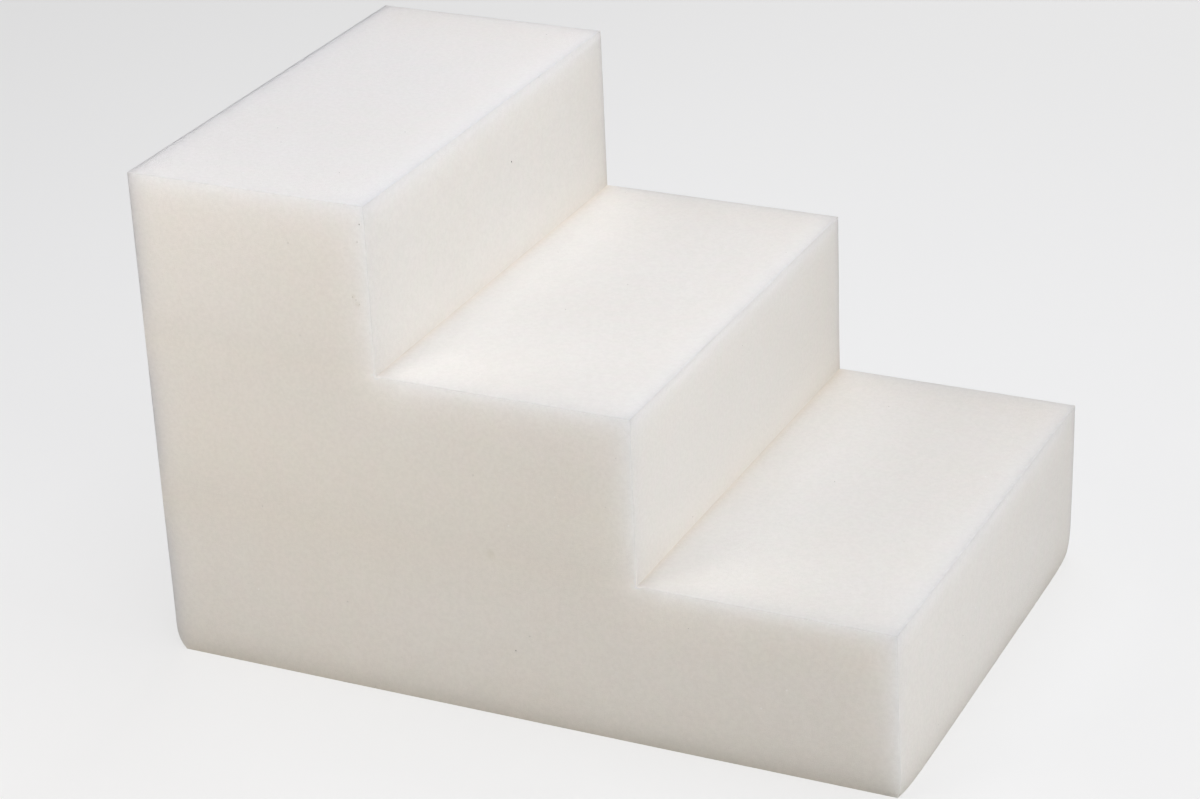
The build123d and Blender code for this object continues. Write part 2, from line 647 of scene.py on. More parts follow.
@dataclass(frozen=True)
class PaintedEdgeLight:
    """Light and shade painted into bare foam's colour beside its edges, where light leaves it or passes
    through it.

    Attributes:
        nose_line: A thin line of painted shade along a tread's front edge.
        rim_line: Light that comes out along the edges to the sides, more so further down.
        rim_start: How much of rim_line the summit takes. The lowest tread takes 1 more.
        nose_cool: Painted cool light from short ways through the foam beside a tread's front edge.
        rim_cool: The same beside the edges to the sides.
        tread_nose: Light lost from a tread to the darker riser below it.
        tread_rim: Light lost from a tread to the darker side below it.
        top_share: How much of tread_rim the top tread takes, beside the best lit part of the side.
        top_depth: How far below the summit a point still belongs to the top tread.
        riser_rim: Light lost from a riser to the side.
        back_rim: Light lost from a side to the dark back.
        back_share: How much of back_rim the top tread takes.
        far_rim: Light lost to the dark far side.
        far_line: The last of the light that the far side takes from a riser.
        far_share: How much of the rims' tints the far side takes as well.
        side_warm_light: Painted warm light half way up the sides.
        side_middle: Where that is.
        side_cool: Cool light from treads and risers that comes out beside a side's edges.
        side_lift: The same for its brightness, more so further down.
        inner_corner: Light that comes round the edge to a side, close to a joint.
        crown_cool_light: Painted cooler light towards the top, away from the floor's warm light.
        crown_treads: How much of that cooler light the treads take.
        crease: Painted warm shade from long ways of light through the foam in an inner corner.
        riser_crease: How much of crease a riser takes.
        crease_fade: How far from the sides crease starts.
        crease_glow: Light that tread and riser send each other through the foam.
        sole: Light lost at the floor.
        riser_slope: Painted light and shade across the lower risers: how much more of each colour they have
            at the far end than in the middle.
        tread_slope: The same for a tread.
        joint: Painted warm light on a side close to a joint, where light spreads less freely: how much more
            of each colour it has there.
    """

    nose_line: Band = Band((0.915, 0.91, 0.9), 2.6 * MM)
    rim_line: Band = Band((1.02, 1.02, 1.022), 1.8 * MM)
    rim_start: float = 0.5
    nose_cool: Band = Band((0.98, 1.0, 1.045), 9 * MM)
    rim_cool: Band = Band((0.99, 1.0, 1.02), 18 * MM)
    tread_nose: Band = Band((0.965, 0.965, 0.96), 9 * MM, 2.0)
    tread_rim: Band = Band((0.897, 0.892, 0.882), 13 * MM)
    top_share: float = 0.55
    top_depth: float = 2 * MM
    riser_rim: Band = Band((0.92, 0.915, 0.908), 22 * MM)
    back_rim: Band = Band((0.885, 0.895, 0.915), 9 * MM, 1.6)
    back_share: float = 0.35
    far_rim: Band = Band((0.935, 0.925, 0.905), 35 * MM)
    far_line: Band = Band((0.865, 0.85, 0.835), 5 * MM)
    far_share: float = 0.25
    side_warm_light: Band = Band((1.008, 1.0, 0.985), 70 * MM, 2.0)
    side_middle: float = 150 * MM
    side_cool: Band = Band((0.985, 1.0, 1.015), 10 * MM)
    side_lift: Band = Band((1.05, 1.05, 1.055), 4 * MM)
    inner_corner: Band = Band((1.12, 1.13, 1.15), 10 * MM, 1.4)
    crown_cool_light: Band = Band((0.996, 1.0, 1.016), 60 * MM)
    crown_treads: float = 0.6
    crease: Band = Band((0.94, 0.91, 0.875), 4.6 * MM, 1.5)
    riser_crease: float = 0.08
    crease_fade: float = 5 * MM
    crease_glow: Band = Band((1.065, 1.06, 1.055), 28 * MM, 2.0)
    sole: Band = Band((0.95, 0.935, 0.9), 22 * MM)
    riser_slope: Colour = (-0.016, -0.016, -0.016)
    tread_slope: Colour = (0.008, 0.0, -0.01)
    joint: Colour = (0.006, 0.0, -0.015)

    def colours(
        self, stack: Stack, points: np.ndarray, normals: np.ndarray, scatter: np.ndarray
    ) -> np.ndarray:
        """Works out the light and shade painted on every point of a slab.

        Args:
            stack: The form that the slabs share.
            points: Rows of x, y, z.
            normals: The surface's direction at each.
            scatter: How freely light spreads at each.

        Returns:
            One colour for each point.
        """
        front, side, up = np.clip(normals[:, 0], 0, 1), np.abs(normals[:, 1]), np.clip(normals[:, 2], 0, 1)
        nose, rim, crease = stack.nose_gap(points), stack.rim_gap(points), stack.crease_gap(points)
        x, y, z = points.T
        summit = stack.tops[-1]
        to_far, across = stack.half_width - y, y / stack.half_width
        near = np.where(y < 0, 1.0, self.far_share)
        topmost = np.where(z > summit - self.top_depth, self.top_share, 1.0)
        depth = np.minimum((summit - z) / (summit - stack.tops[0]), 1)
        inside = smooth_step((stack.half_width - np.abs(y)) / self.crease_fade)
        held = 1 - scatter
        colours = np.ones_like(points)
        # Each band paints light or shade into the colour, fading with a distance.
        for band, gap, share in (
            (self.nose_line, nose, 1.0),
            (self.rim_line, rim, self.rim_start + depth),
            (self.nose_cool, nose, 1.0),
            (self.rim_cool, rim, near),
            (self.tread_nose, nose, up),
            (self.tread_rim, rim, up * near * topmost),
            (self.riser_rim, rim, front * near),
            (self.back_rim, x - stack.back, side * near + self.back_share * up),
            (self.far_rim, to_far, up + front),
            (self.far_line, to_far, front),
            (self.side_warm_light, np.abs(z - self.side_middle), side),
            (self.side_cool, rim, side),
            (self.side_lift, rim, side * (depth - self.far_share)),
            (self.inner_corner, rim, side * held**2),
            (self.crown_cool_light, summit - z, side + self.crown_treads * up),
            (self.crease, crease, inside * (self.riser_crease * front + up)),
            (self.crease_glow, crease, 1.0),
            (self.sole, z, 1.0),
        ):
            colours = band.over(colours, gap, share)
        # Gradients of painted light and shade across risers, treads and sides near joints.
        for more, share in (
            (self.riser_slope, front * (z < stack.tops[1]) * across),
            (self.tread_slope, up * across),
            (self.joint, side * held),
        ):
            colours = colours * (1 + share[:, None] * np.array(more))
        return colours


@dataclass(frozen=True)
class GridRule:
    """How a slab's grid lines are spaced.

    Attributes:
        fine: Distances of the first lines from an edge.
        coarse: The greatest step elsewhere.
    """

    fine: tuple[float, ...] = tuple(
        MM * v for v in (0.13, 0.35, 0.7, 1.3, 2.2, 3.6, 4.4, 6.2, 8.6, 11.5, 15.5)
    )
    coarse: float = 5 * MM

    def lines(self, stops: Sequence[float]) -> np.ndarray:
        """Places lines between stops, close together beside each stop.

        Args:
            stops: Rising places of edges and joints.

        Returns:
            The lines' places, the stops among them.
        """
        places = [stops[0]]
        for low, high in zip(stops, stops[1:]):
            start, end = low + self.fine[-1], high - self.fine[-1]
            steps = max(1, math.ceil((end - start) / self.coarse))
            places += [low + v for v in self.fine[:-1]]
            places += list(np.linspace(start, end, steps + 1))
            places += [high - v for v in reversed(self.fine[:-1])]
            places.append(high)
        return np.array(places)


def box_grid(*lines: np.ndarray) -> tuple[np.ndarray, np.ndarray]:
    """Makes the surface of a box from the lines along its three sides.

    Args:
        *lines: The places of the lines along X, Y and Z.

    Returns:
        Vertices as rows of x, y, z, and quads as rows of four vertices, facing outwards.
    """
    counts = [len(v) for v in lines]
    numbers = np.full(counts, -1)
    skin = np.zeros(counts, bool)
    for axis in range(3):
        for end in (0, counts[axis] - 1):
            skin[tuple(end if i == axis else slice(None) for i in range(3))] = True
    numbers[skin] = np.arange(skin.sum())
    where = np.argwhere(skin)
    points = np.column_stack([lines[i][where[:, i]] for i in range(3)])
    quads = []
    for axis in range(3):
        for end, flip in ((0, True), (counts[axis] - 1, False)):
            sheet = np.take(numbers, end, axis=axis)
            sheet = sheet.T if (axis == 1) != flip else sheet
            quad = np.stack([sheet[:-1, :-1], sheet[1:, :-1], sheet[1:, 1:], sheet[:-1, 1:]], axis=-1)
            quads.append(quad.reshape(-1, 4))
    return points, np.concatenate(quads)


def quad_mesh(
    name: str, points: np.ndarray, quads: np.ndarray, finish: bpy.types.Material
) -> bpy.types.Mesh:
    """Makes a mesh of quads with its first material.

    Args:
        name: The mesh's name.
        points: Rows of x, y, z.
        quads: Rows of four vertices.
        finish: The material.

    Returns:
        The mesh.
    """
    mesh = bpy.data.meshes.new(name)
    mesh.from_pydata(points.tolist(), [], quads.tolist())
    mesh.materials.append(finish)
    return mesh


@dataclass(frozen=True)
class SawnSurface:
    """The small unevenness of foam cut with a band knife, and the larger cells that it opened.

    Attributes:
        waviness: How far the surface wanders in and out.
        wave_length: Over what length it wanders.
        ripple: Depth of the knife's ripple.
        ripple_length: Length of the knife's ripple.
        cells_per_area: Burst cells for each square metre.
        smallest_cell: Radius of the smallest burst cell.
        largest_cell: Radius of the largest scattered burst cell.
        seed: The scatter's seed.
    """

    waviness: float = 0.35 * MM
    wave_length: float = 110 * MM
    ripple: float = 0.04 * MM
    ripple_length: float = 9 * MM
    cells_per_area: float = 45.0
    smallest_cell: float = 0.2 * MM
    largest_cell: float = 0.4 * MM
    seed: int = 7

    def tree(self) -> Tree:
        """Builds the geometry tree that gives a slab this surface.

        Returns:
            The tree.
        """
        inputs = {
            "Geometry": "Geometry",
            "Waviness": self.waviness,
            "Wave length": self.wave_length,
            "Ripple": self.ripple,
            "Ripple length": self.ripple_length,
            "Cells per area": self.cells_per_area,
            "Smallest cell": self.smallest_cell,
            "Largest cell": self.largest_cell,
            "Marked cells": "Object",
            "Seed": self.seed,
            "Foam": "Material",
            "Burst cell": "Material",
            "Glued face": "Material",
        }
        wire, given = new_tree("sawn_surface", "GeometryNodeTree", inputs, {"Geometry": "Geometry"})
        moved = self._uneven(wire, given)
        cut = self._burst(wire, given, moved)
        whole = wire.node("GeometryNodeRealizeInstances", Geometry=cut).outputs[0]
        under = wire.math("GREATER_THAN", wire.carried(Mark.GLUED), IS_SET)
        glued = given["Glued face"]
        last = wire.node("GeometryNodeSetMaterial", Geometry=whole, Selection=under, Material=glued)
        wire.node("NodeGroupOutput", Geometry=last.outputs[0])
        return wire.tree

    def _uneven(self, wire: Wiring, given: Any) -> Socket:
        """Moves the surface in and out along its outward direction.

        Args:
            wire: The tree's wiring.
            given: The tree's inputs.

        Returns:
            The moved geometry.
        """
        place = wire.node("GeometryNodeInputPosition").outputs[0]
        waves = [
            wire.math("MULTIPLY", wire.swing(place, given[length], 1.0), given[depth])
            for depth, length in (("Waviness", "Wave length"), ("Ripple", "Ripple length"))
        ]
        outward = wire.carried(Mark.OUTWARD, "FLOAT_VECTOR")
        offset = wire.vector("SCALE", outward, scale=wire.math("ADD", *waves))
        return wire.node("GeometryNodeSetPosition", Geometry=given["Geometry"], Offset=offset).outputs[0]

    def _burst(self, wire: Wiring, given: Any, skin: Socket) -> Socket:
        """Cuts scattered and marked burst cells into the open faces.

        Args:
            wire: The tree's wiring.
            given: The tree's inputs.
            skin: The slab's surface.

        Returns:
            The surface with its cells cut.
        """
        open_face = wire.math("GREATER_THAN", wire.carried(Mark.OPEN_FACE), IS_SET)
        strewn = wire.node(
            "GeometryNodeDistributePointsOnFaces",
            Mesh=skin, Selection=open_face, Density=given["Cells per area"], Seed=given["Seed"],
        )
        size = wire.node(
            "FunctionNodeRandomValue", {"data_type": "FLOAT"},
            Min=given["Smallest cell"], Max=given["Largest cell"], Seed=given["Seed"],
        )
        radius = next(s for s in size.outputs if s.type == "VALUE" and s.enabled)
        ball = wire.node("GeometryNodeMeshIcoSphere", Radius=1.0, Subdivisions=2).outputs[0]
        free, turn = strewn.outputs["Points"], strewn.outputs["Rotation"]
        scattered = wire.node(
            "GeometryNodeInstanceOnPoints", Points=free, Instance=ball, Rotation=turn, Scale=radius
        )
        marked = wire.node("GeometryNodeObjectInfo", Object=given["Marked cells"]).outputs["Geometry"]
        own = wire.carried(Mark.CELL_RADIUS)
        chosen = wire.node("GeometryNodeInstanceOnPoints", Points=marked, Instance=ball, Scale=own)
        both = wire.node("GeometryNodeJoinGeometry")
        for cells in (scattered, chosen):
            wire.feed(both.inputs[0], cells.outputs[0])
        solid = wire.node("GeometryNodeRealizeInstances", Geometry=both.outputs[0]).outputs[0]
        cut = wire.node("GeometryNodeMeshBoolean", {"operation": "DIFFERENCE", "solver": "EXACT"})
        # The cells' pits take a finish of painted shade.
        for socket, shape, finish in (("Mesh 1", skin, "Foam"), ("Mesh 2", solid, "Burst cell")):
            part = wire.node("GeometryNodeSetMaterial", Geometry=shape, Material=given[finish])
            wire.feed(cut.inputs[socket], part.outputs[0])
        return cut.outputs["Mesh"]


def open_cell_grain() -> Tree:
    """Builds the shader group for the cut cells of foam.

    Returns:
        The group, which gives heights and a mask of the deep pores.
    """
    warp_scale, fine_scale, fine_roughness = 0.6, 2.7, 0.6
    wall_share, fine_share = 0.75, 0.5
    wall_foot, wall_top = 0.12, 0.62
    pore_core, pore_rim = 0.08, 0.34
    inputs = {"Place": "Vector", "Cell size": MM, "Unevenness": 0.5}
    wire, given = new_tree("open_cell_grain", "ShaderNodeTree", inputs, {"Height": "Float", "Pore": "Float"})
    place = wire.scaled(given["Place"], given["Cell size"])
    warp = wire.node("ShaderNodeTexNoise", Vector=place, Scale=warp_scale, Detail=1.0).outputs["Color"]
    bent = wire.vector("ADD", place, wire.vector("SCALE", warp, scale=given["Unevenness"]))
    cells = wire.cells(bent)
    fine = wire.node(
        "ShaderNodeTexNoise", Vector=bent, Scale=fine_scale, Detail=2.0, Roughness=fine_roughness
    )
    wall = wire.math("MULTIPLY", wire.ramp(cells, wall_foot, wall_top), wall_share)
    height = wire.math("ADD", wall, wire.math("MULTIPLY", fine.outputs[0], fine_share))
    pore = wire.ramp(cells, pore_core, pore_rim, 1.0, 0.0)
    wire.node("NodeGroupOutput", Height=height, Pore=pore)
    return wire.tree


def uneven_tint() -> Tree:
    """Builds the shader group for slow changes of tint over a surface.

    Returns:
        The group, which gives a broad and a fine change, each from 0 to 1.
    """
    low, high, roughness = 0.3, 0.7, 0.55
    inputs = {"Place": "Vector", "Broad size": 120 * MM, "Fine size": 9 * MM}
    wire, given = new_tree("uneven_tint", "ShaderNodeTree", inputs, {"Broad": "Float", "Fine": "Float"})
    result = wire.node("NodeGroupOutput")
    for name in ("Broad", "Fine"):
        place = wire.scaled(given["Place"], given[name + " size"])
        noise = wire.node("ShaderNodeTexNoise", Vector=place, Scale=1.0, Detail=2.0, Roughness=roughness)
        wire.fill(result, **{name: wire.ramp(noise.outputs[0], low, high)})
    return wire.tree


@dataclass
class ShaderKit:
    """The shader groups that more than one finish uses.

    Attributes:
        grain: The cut cells.
        tint: The slow changes of tint.
    """

    grain: Tree = field(default_factory=open_cell_grain)
    tint: Tree = field(default_factory=uneven_tint)


def new_material(name: str) -> tuple[bpy.types.Material, Wiring, bpy.types.Node]:
    """Starts a material.

    Args:
        name: Its name.

    Returns:
        The material, its wiring and its Principled shader.
    """
    made = bpy.data.materials.new(name)
    made.use_nodes = True
    shader = next(n for n in made.node_tree.nodes if n.type == "BSDF_PRINCIPLED")
    return made, Wiring(made.node_tree), shader


@dataclass(frozen=True)
class FoamFinish:
    """Bare sawn open-cell foam, off-white and a little translucent.

    Attributes:
        name: The material's name.
        colour: The foam's own colour.
        warm: The colour of its warmer patches.
        hue_spots: What pinkish and greenish spots multiply the colour by.
        hue_size: The size of those spots.
        tone_spots: What dark and pale spots multiply the colour by.
        tone_size: The size of those spots.
        pore: What the deep pores multiply the colour by.
        grain_share: How much the pores show.
        cell_size: The size of a cell.
        cell_depth: How deep the cells are.
        bump: How strongly they shade.
        scatter_reach: How far light spreads inside the foam.
        scatter_colour: How far each colour of it spreads, as a share.
        roughness: The least and the greatest roughness, on the walls and in the pores.
        gloss: The surface's specular level.
        fleck: The colour of the few pale flecks of dust.
        fleck_gap: About how far apart they are inside the foam.
        fleck_size: Their radius.
        fleck_core: The share of that radius over which a fleck is full.
        scatters: Whether light spreads inside it, as far as the mesh's own mark allows, and whether it takes
            the light and shade painted on the mesh.
        stain: What the middle of a stain multiplies the colour by.
        stains: The middle and the radius of each stain.
    """

    name: str
    colour: Colour = (0.87, 0.847, 0.808)
    warm: Colour = (0.87, 0.843, 0.797)
    hue_spots: tuple[Colour, Colour] = ((1.004, 0.997, 1.001), (0.996, 1.003, 0.998))
    hue_size: float = 16 * MM
    tone_spots: tuple[Colour, Colour] = ((0.983, 0.983, 0.983), (1.017, 1.017, 1.017))
    tone_size: float = 3.4 * MM
    pore: Colour = (0.9, 0.885, 0.86)
    grain_share: float = 0.75
    cell_size: float = 0.9 * MM
    cell_depth: float = 0.25 * MM
    bump: float = 0.5
    scatter_reach: float = 30 * MM
    scatter_colour: Colour = (1.0, 1.0, 1.0)
    roughness: tuple[float, float] = (0.82, 0.96)
    gloss: float = 0.15
    # fleck: The colour of the few pale flecks.
    fleck: Colour = (0.98, 0.97, 0.95)
    fleck_gap: float = 36 * MM
    fleck_size: float = 0.8 * MM
    fleck_core: float = 0.5
    scatters: bool = True
    stain: Colour = (0.945, 0.938, 0.92)
    stains: tuple[tuple[Vector, float], ...] = ()

    def make(self, kit: ShaderKit) -> bpy.types.Material:
        """Makes the material.

        Args:
            kit: The shared shader groups.

        Returns:
            The material.
        """
        made, wire, shader = new_material(self.name)
        place = wire.node("ShaderNodeTexCoord").outputs["Object"]
        grain = wire.node("ShaderNodeGroup", {"node_tree": kit.grain}, Place=place, Cell_size=self.cell_size)
        colour = self._spotted(wire, kit, place)
        pores = wire.math("MULTIPLY", grain.outputs["Pore"], self.grain_share)
        colour = wire.tint(pores, colour, self.pore, "MULTIPLY")
        colour = self._marked(wire, place, colour)
        if self.scatters:
            # Multiplies in the light and shade painted beside the edges.
            colour = wire.tint(1.0, colour, wire.painted(Mark.TINT, "Color"), "MULTIPLY")
            wire.fill(
                shader, Subsurface_Weight=wire.painted(Mark.SCATTER, "Fac"),
                Subsurface_Radius=self.scatter_colour, Subsurface_Scale=self.scatter_reach,
            )
        cells = grain.outputs["Height"]
        bump = wire.node("ShaderNodeBump", Height=cells, Strength=self.bump, Distance=self.cell_depth)
        rough = wire.ramp(grain.outputs["Pore"], 0.0, 1.0, *self.roughness)
        wire.fill(shader, Base_Color=colour, Normal=bump.outputs[0], Roughness=rough)
        wire.fill(shader, Specular_IOR_Level=self.gloss)
        return made

    def _spotted(self, wire: Wiring, kit: ShaderKit, place: Socket) -> Socket:
        """Mixes the foam's own colour, with its warmer patches and its faint spots.

        Args:
            wire: The material's wiring.
            kit: The shared shader groups.
            place: Where on the piece a point is.

        Returns:
            The colour.
        """
        tint = wire.node("ShaderNodeGroup", {"node_tree": kit.tint}, Place=place)
        colour = wire.tint(tint.outputs["Broad"], self.colour, self.warm)
        spots = wire.node(
            "ShaderNodeGroup", {"node_tree": kit.tint},
            Place=place, Broad_size=self.hue_size, Fine_size=self.tone_size,
        )
        for size, pair in (("Broad", self.hue_spots), ("Fine", self.tone_spots)):
            colour = wire.tint(1.0, colour, wire.tint(spots.outputs[size], *pair), "MULTIPLY")
        return colour

    def _marked(self, wire: Wiring, place: Socket, colour: Socket) -> Socket:
        """Lays the pale flecks and the stains over a colour.

        Args:
            wire: The material's wiring.
            place: Where on the piece a point is.
            colour: The colour without them.

        Returns:
            The colour with them.
        """
        strewn = wire.scaled(place, self.fleck_gap)
        away = wire.cells(strewn)
        reach = self.fleck_size / self.fleck_gap
        colour = wire.tint(wire.ramp(away, self.fleck_core * reach, reach, 1.0, 0.0), colour, self.fleck)
        for middle, radius in self.stains:
            away = wire.vector("LENGTH", wire.vector("SUBTRACT", place, middle))
            colour = wire.tint(wire.ramp(away, 0.0, radius, 1.0, 0.0), colour, self.stain, "MULTIPLY")
        return colour


@dataclass(frozen=True)
class AdhesiveFinish:
    """Dried contact adhesive, pale amber and half matte.

    Attributes:
        colour: Its colour where thick.
        thin: Its colour where thin.
        patch_size: The size of its thick and thin patches.
        roughness: The least and the greatest roughness, between and on its lumps.
        gloss: The surface's specular level.
        lump_size: The size of its lumps.
        lump_depth: Their depth.
        bump: How strongly they shade.
    """

    colour: Colour = (0.84, 0.785, 0.71)
    thin: Colour = (0.85, 0.8, 0.73)
    patch_size: float = 25 * MM
    roughness: tuple[float, float] = (0.5, 0.7)
    gloss: float = 0.25
    lump_size: float = 3 * MM
    lump_depth: float = 0.2 * MM
    bump: float = 0.5

    def make(self, kit: ShaderKit) -> bpy.types.Material:
        """Makes the material.

        Args:
            kit: The shared shader groups.

        Returns:
            The material.
        """
        made, wire, shader = new_material("dried_adhesive")
        place = wire.node("ShaderNodeTexCoord").outputs["Object"]
        tint = wire.node(
            "ShaderNodeGroup", {"node_tree": kit.tint},
            Place=place, Broad_size=self.patch_size, Fine_size=self.lump_size,
        )
        colour = wire.tint(tint.outputs["Broad"], self.colour, self.thin)
        lumps = tint.outputs["Fine"]
        rough = wire.ramp(lumps, 0.0, 1.0, *self.roughness)
        bump = wire.node("ShaderNodeBump", Height=lumps, Strength=self.bump, Distance=self.lump_depth)
        wire.fill(shader, Base_Color=colour, Normal=bump.outputs[0], Roughness=rough)
        wire.fill(shader, Specular_IOR_Level=self.gloss)
        return made


@dataclass
class FoamSlab:
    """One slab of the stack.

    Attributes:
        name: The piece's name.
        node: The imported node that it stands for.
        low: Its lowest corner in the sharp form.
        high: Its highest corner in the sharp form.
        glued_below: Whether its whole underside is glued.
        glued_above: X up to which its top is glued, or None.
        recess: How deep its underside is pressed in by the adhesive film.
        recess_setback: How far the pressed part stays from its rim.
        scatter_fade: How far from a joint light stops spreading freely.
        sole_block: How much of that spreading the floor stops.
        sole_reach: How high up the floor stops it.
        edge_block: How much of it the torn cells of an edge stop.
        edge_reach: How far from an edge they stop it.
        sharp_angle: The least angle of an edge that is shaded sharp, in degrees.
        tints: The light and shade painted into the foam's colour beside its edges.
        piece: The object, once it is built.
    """

    name: str
    node: str
    low: Vector
    high: Vector
    glued_below: bool
    glued_above: float | None
    recess: float = 0.3 * MM
    recess_setback: float = 4 * MM
    scatter_fade: float = 40 * MM
    sole_block: float = 0.8
    sole_reach: float = 8 * MM
    edge_block: float = 0.8
    edge_reach: float = 1.2 * MM
    sharp_angle: float = 35.0
    tints: PaintedEdgeLight = field(default_factory=PaintedEdgeLight)
    piece: bpy.types.Object | None = None

    def build(
        self, stack: Stack, surface: Tree, marked: bpy.types.Object, seed: int,
        finishes: dict[str, bpy.types.Material],
    ) -> None:
        """Makes the slab's mesh and gives it its sawn surface and finish.

        Args:
            stack: The form that the slabs share.
            surface: The geometry tree of the sawn surface.
            marked: Points where burst cells are marked.
            seed: The scatter's seed.
            finishes: The finishes of the open faces, the burst cells and the glued faces.
        """
        rule = GridRule()
        ends = [stack.back, *reversed(stack.fronts)]
        along = rule.lines([v for v in ends if self.low.x - TOUCH < v < self.high.x + TOUCH])
        across = rule.lines([-stack.half_width, stack.half_width])
        points, quads = box_grid(along, across, rule.lines([self.low.z, self.high.z]))
        rounded, outward = stack.round_edges(points)
        worn = stack.wear(rounded)
        worn[:, 2] += self._pressed_in(points, stack)
        outward[:, 2] *= smooth_step(worn[:, 2] / self.sole_reach)
        mesh = quad_mesh(self.name, worn, quads, finishes["Foam"])
        joined = self._is_glued(points)
        set_marks(mesh, Mark.OUTWARD, outward)
        set_marks(mesh, Mark.GLUED, joined.astype(float))
        set_marks(mesh, Mark.OPEN_FACE, (~joined & (points[:, 2] > TOUCH)).astype(float))
        self.piece = new_object(self.name, mesh)
        apply_tree(self.piece, surface, {"Marked cells": marked, "Seed": seed, **finishes})
        self._finish_mesh(stack)

    def _is_glued(self, points: np.ndarray) -> np.ndarray:
        """Tells which grid points lie on a glued face.

        Args:
            points: Rows of x, y, z of the sharp form.

        Returns:
            One truth value for each point.
        """
        joined = np.zeros(len(points), bool)
        if self.glued_below:
            joined |= points[:, 2] < self.low.z + TOUCH
        if self.glued_above is not None:
            joined |= (points[:, 2] > self.high.z - TOUCH) & (points[:, 0] < self.glued_above + TOUCH)
        return joined

    def _pressed_in(self, points: np.ndarray, stack: Stack) -> np.ndarray:
        """Gives how far up the underside is pressed by the adhesive film.

        Args:
            points: Rows of x, y, z of the sharp form.
            stack: The form that the slabs share.

        Returns:
            One height for each point.
        """
        if not self.glued_below:
            return np.zeros(len(points))
        inside = np.minimum(stack.half_width - np.abs(points[:, 1]), points[:, 0] - stack.back)
        under = points[:, 2] < self.low.z + TOUCH
        return np.where(under & (inside > self.recess_setback), self.recess, 0.0)

    def _finish_mesh(self, stack: Stack) -> None:
        """Marks how light spreads on the finished mesh, paints light and shade into its colour, and shades
        it smooth.

        Args:
            stack: The form that the slabs share.
        """
        mesh = self.piece.data
        flat, normals = np.empty(len(mesh.vertices) * 3), np.empty(len(mesh.vertices) * 3, np.float32)
        mesh.vertices.foreach_get("co", flat)
        mesh.vertex_normals.foreach_get("vector", normals)
        points = flat.reshape(-1, 3)
        scatter = np.clip(stack.joint_gap(points) / self.scatter_fade, 0, 1)
        scatter *= 1 - self.sole_block * np.exp(-points[:, 2] / self.sole_reach)
        edge = np.minimum(stack.nose_gap(points), stack.rim_gap(points))
        set_marks(mesh, Mark.SCATTER, scatter * (1 - self.edge_block * np.exp(-edge / self.edge_reach)))
        # Light and shade painted into the colour beside the edges.
        set_marks(mesh, Mark.TINT, self.tints.colours(stack, points, normals.reshape(-1, 3), scatter))
        smooth_between(mesh, self.sharp_angle)

    def dress(self) -> None:
        """Hides the imported node that the piece stands for, and hangs the piece on the root body."""
        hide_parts(self.node)
        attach(self.piece, BODY)


